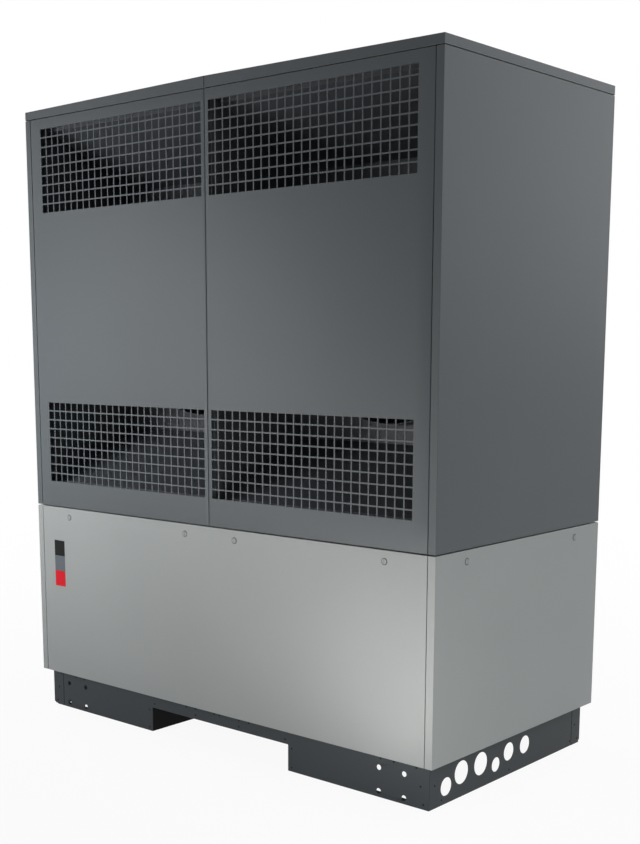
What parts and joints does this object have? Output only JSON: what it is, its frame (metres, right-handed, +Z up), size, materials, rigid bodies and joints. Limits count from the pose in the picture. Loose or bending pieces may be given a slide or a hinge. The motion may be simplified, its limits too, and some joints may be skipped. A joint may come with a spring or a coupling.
{
  "type": "air-to-water heat pump",
  "caption": "Free-standing outdoor air-to-water heat pump: fan sections behind square-hole grilles over a closed machine compartment on a forkable plinth.",
  "frame": {"origin": "on the ground under the middle of the unit", "axes": "+X to the unit's right seen from the front, +Y from the front to the back, +Z up"},
  "size_m": [1.905, 1, 2.29],
  "materials": {
    "upper_casing": "fine-textured powder coat, satin",
    "lower_casing": "smooth powder coat, satin",
    "plinth": "powder coat, satin",
    "lock": "painted, satin",
    "galvanised_steel": "galvanised sheet",
    "dark_sheet": "black paint, matte",
    "motor_paint": "black paint, satin",
    "fan_plastic": "moulded, matte",
    "foam": "open foam, matte",
    "coil_aluminium": "thin fins",
    "tray_aluminium": "plain sheet",
    "compressor_paint": "black paint, satin",
    "mount_rubber": "moulded rubber",
    "brazed_steel": "stainless plates brazed with copper",
    "valve_brass": "drawn brass",
    "copper": "drawn copper",
    "box_paint": "light powder coat",
    "pipe_steel": "drawn steel tube"
  },
  "bodies": {
    "cabinet": {"air_baffles": "dark_sheet", "base_bearers": "plinth", "base_corner_plates": "plinth", "base_front_rail": "plinth", "base_left_rail": "plinth", "base_rear_rail": "plinth", "base_right_rail": "plinth", "centre_mullions": "dark_sheet", "centre_partition": "dark_sheet", "compressor_left": "compressor_paint", "compressor_mounts": "mount_rubber", "compressor_right": "compressor_paint", "door_liners": "foam", "drip_tray": "tray_aluminium", "electrical_box": "box_paint", "evaporator_left": "coil_aluminium", "evaporator_right": "coil_aluminium", "fan_motors": "motor_paint", "fan_supports": "dark_sheet", "fan_wall": "dark_sheet", "fork_tunnel": "plinth", "four_way_valve": "valve_brass", "frame_uprights": "dark_sheet", "liquid_receiver": "compressor_paint", "machine_floor": "galvanised_steel", "mid_frame": "galvanised_steel", "plate_condenser": "brazed_steel", "refrigerant_pipes": "copper", "roof_left": "upper_casing", "roof_rafters": "galvanised_steel", "roof_right": "upper_casing", "suction_accumulator": "compressor_paint", "top_frame": "galvanised_steel", "upper_front_door_left": "upper_casing", "upper_front_door_right": "upper_casing", "upper_left_panel": "upper_casing", "upper_rear_panel_left": "upper_casing", "upper_rear_panel_right": "upper_casing", "upper_right_panel": "upper_casing", "water_pipes": "pipe_steel"},
    "left_fan": {"fan_rotor_left": "fan_plastic"},
    "right_fan": {"fan_rotor_right": "fan_plastic"},
    "front_panel": {"lower_front_panel": "lower_casing"},
    "rear_panel": {"lower_rear_panel": "lower_casing"},
    "left_panel": {"lower_left_panel": "lower_casing"},
    "right_panel": {"lower_right_panel": "lower_casing"},
    "front_lock_1": {"front_lock_1": "lock"},
    "front_lock_2": {"front_lock_2": "lock"},
    "front_lock_3": {"front_lock_3": "lock"},
    "front_lock_4": {"front_lock_4": "lock"},
    "left_lock_1": {"left_lock_1": "lock"},
    "left_lock_2": {"left_lock_2": "lock"},
    "rear_lock_1": {"rear_lock_1": "lock"},
    "rear_lock_2": {"rear_lock_2": "lock"},
    "rear_lock_3": {"rear_lock_3": "lock"},
    "rear_lock_4": {"rear_lock_4": "lock"},
    "right_lock_1": {"right_lock_1": "lock"},
    "right_lock_2": {"right_lock_2": "lock"}
  },
  "joints": [
    {"name": "left_fan_spin", "type": "hinge", "parent": "cabinet", "child": "left_fan", "pos_m": [-0.4515, -0.045, 1.562], "axis": [0, 1, 0], "continuous": true},
    {"name": "right_fan_spin", "type": "hinge", "parent": "cabinet", "child": "right_fan", "pos_m": [0.4515, -0.045, 1.562], "axis": [0, 1, 0], "continuous": true},
    {"name": "front_panel_tilt", "type": "hinge", "parent": "cabinet", "child": "front_panel", "pos_m": [0, -0.4698, 0.1455], "axis": [1, 0, 0], "range_deg": [0, 15]},
    {"name": "rear_panel_tilt", "type": "hinge", "parent": "cabinet", "child": "rear_panel", "pos_m": [0, 0.4698, 0.1455], "axis": [-1, 0, 0], "range_deg": [0, 15]},
    {"name": "right_panel_tilt", "type": "hinge", "parent": "cabinet", "child": "right_panel", "pos_m": [0.9223, 0, 0.1455], "axis": [0, 1, 0], "range_deg": [0, 15]},
    {"name": "left_panel_tilt", "type": "hinge", "parent": "cabinet", "child": "left_panel", "pos_m": [-0.9223, 0, 0.1455], "axis": [0, -1, 0], "range_deg": [0, 15]},
    {"name": "front_lock_1_turn", "type": "hinge", "parent": "front_panel", "child": "front_lock_1", "pos_m": [-0.7595, -0.4975, 0.771], "axis": [0, -1, 0], "range_deg": [0, 90]},
    {"name": "front_lock_2_turn", "type": "hinge", "parent": "front_panel", "child": "front_lock_2", "pos_m": [-0.1205, -0.4975, 0.771], "axis": [0, -1, 0], "range_deg": [0, 90]},
    {"name": "front_lock_3_turn", "type": "hinge", "parent": "front_panel", "child": "front_lock_3", "pos_m": [0.1205, -0.4975, 0.771], "axis": [0, -1, 0], "range_deg": [0, 90]},
    {"name": "front_lock_4_turn", "type": "hinge", "parent": "front_panel", "child": "front_lock_4", "pos_m": [0.7595, -0.4975, 0.771], "axis": [0, -1, 0], "range_deg": [0, 90]},
    {"name": "rear_lock_1_turn", "type": "hinge", "parent": "rear_panel", "child": "rear_lock_1", "pos_m": [-0.7595, 0.4975, 0.771], "axis": [0, 1, 0], "range_deg": [0, 90]},
    {"name": "rear_lock_2_turn", "type": "hinge", "parent": "rear_panel", "child": "rear_lock_2", "pos_m": [-0.1205, 0.4975, 0.771], "axis": [0, 1, 0], "range_deg": [0, 90]},
    {"name": "rear_lock_3_turn", "type": "hinge", "parent": "rear_panel", "child": "rear_lock_3", "pos_m": [0.1205, 0.4975, 0.771], "axis": [0, 1, 0], "range_deg": [0, 90]},
    {"name": "rear_lock_4_turn", "type": "hinge", "parent": "rear_panel", "child": "rear_lock_4", "pos_m": [0.7595, 0.4975, 0.771], "axis": [0, 1, 0], "range_deg": [0, 90]},
    {"name": "right_lock_1_turn", "type": "hinge", "parent": "right_panel", "child": "right_lock_1", "pos_m": [0.95, -0.33, 0.771], "axis": [1, 0, 0], "range_deg": [0, 90]},
    {"name": "right_lock_2_turn", "type": "hinge", "parent": "right_panel", "child": "right_lock_2", "pos_m": [0.95, 0.33, 0.771], "axis": [1, 0, 0], "range_deg": [0, 90]},
    {"name": "left_lock_1_turn", "type": "hinge", "parent": "left_panel", "child": "left_lock_1", "pos_m": [-0.95, -0.33, 0.771], "axis": [-1, 0, 0], "range_deg": [0, 90]},
    {"name": "left_lock_2_turn", "type": "hinge", "parent": "left_panel", "child": "left_lock_2", "pos_m": [-0.95, 0.33, 0.771], "axis": [-1, 0, 0], "range_deg": [0, 90]}
  ]
}
